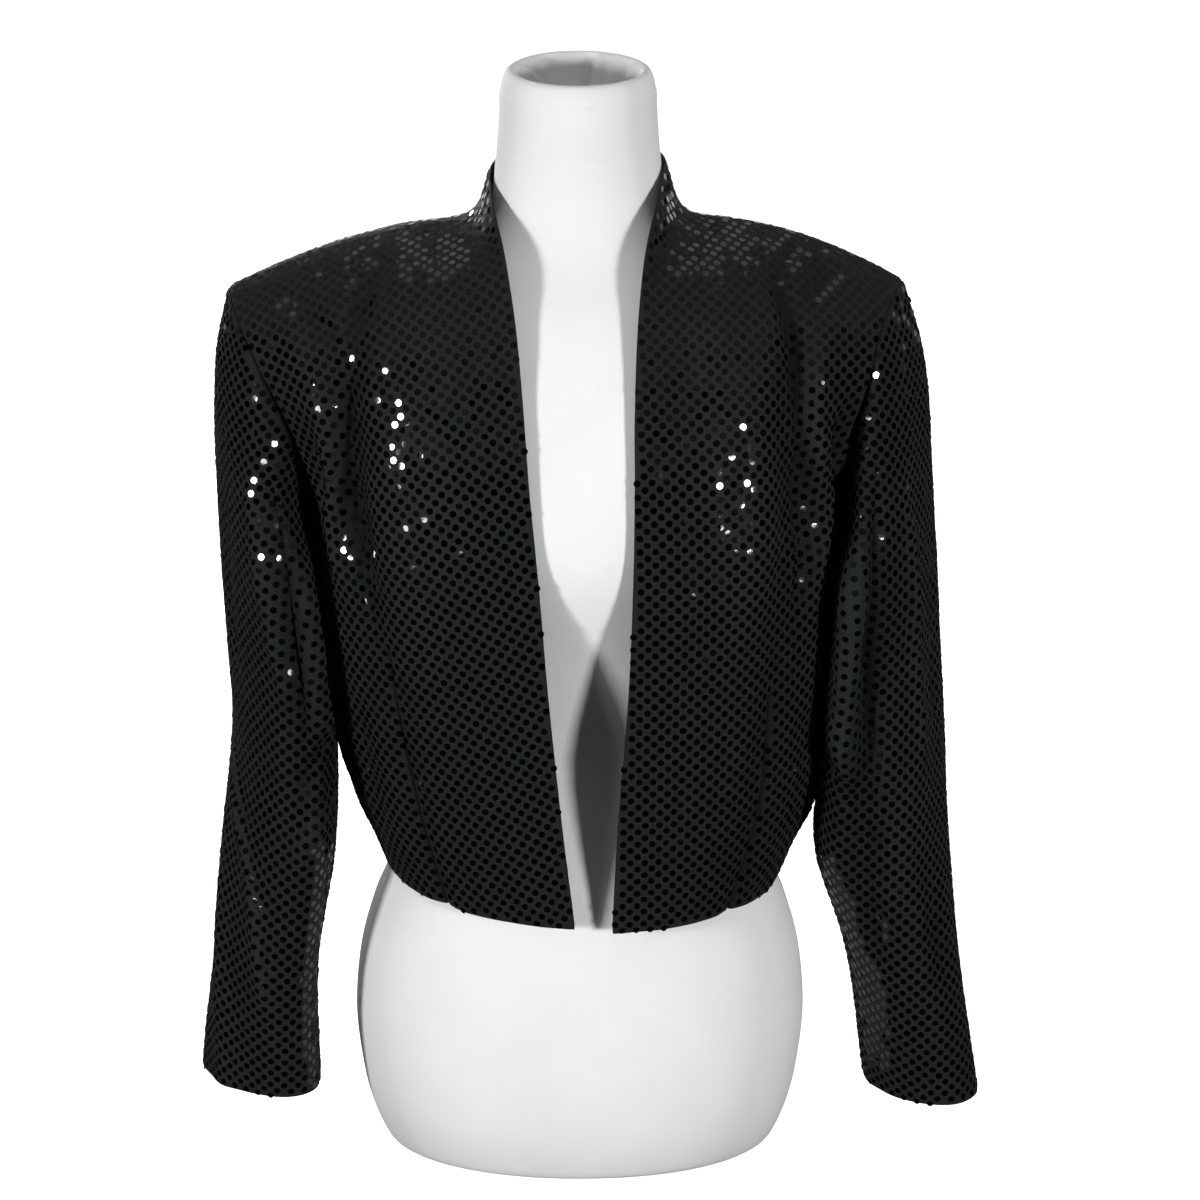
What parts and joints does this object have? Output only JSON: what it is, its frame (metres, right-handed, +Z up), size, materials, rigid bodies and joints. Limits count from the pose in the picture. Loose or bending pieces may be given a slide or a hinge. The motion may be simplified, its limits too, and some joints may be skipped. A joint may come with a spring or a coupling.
{
  "type": "bolero jacket on a limbless dress form",
  "caption": "Cropped open-front jacket in dotted black sequin knit, with a grown-on stand collar, padded shoulders and long set-in sleeves, worn by a limbless dress form.",
  "frame": {"origin": "centre of the dress form's flat base, on the surface it stands on", "axes": "+Z up along the form's neck, +X towards the wearer's left, -Y out of the open front"},
  "size_m": [0.5785, 0.242, 0.8035],
  "materials": {
    "sequinned_knit": "matte charcoal knit set with small glossy black round sequins",
    "jersey": "matte white jersey drawn smooth over the form"
  },
  "bodies": {
    "root": {"front_right": "sequinned_knit", "front_left": "sequinned_knit", "back": "sequinned_knit", "sleeve_right": "sequinned_knit", "sleeve_left": "sequinned_knit", "dress_form": "jersey"}
  },
  "joints": []
}
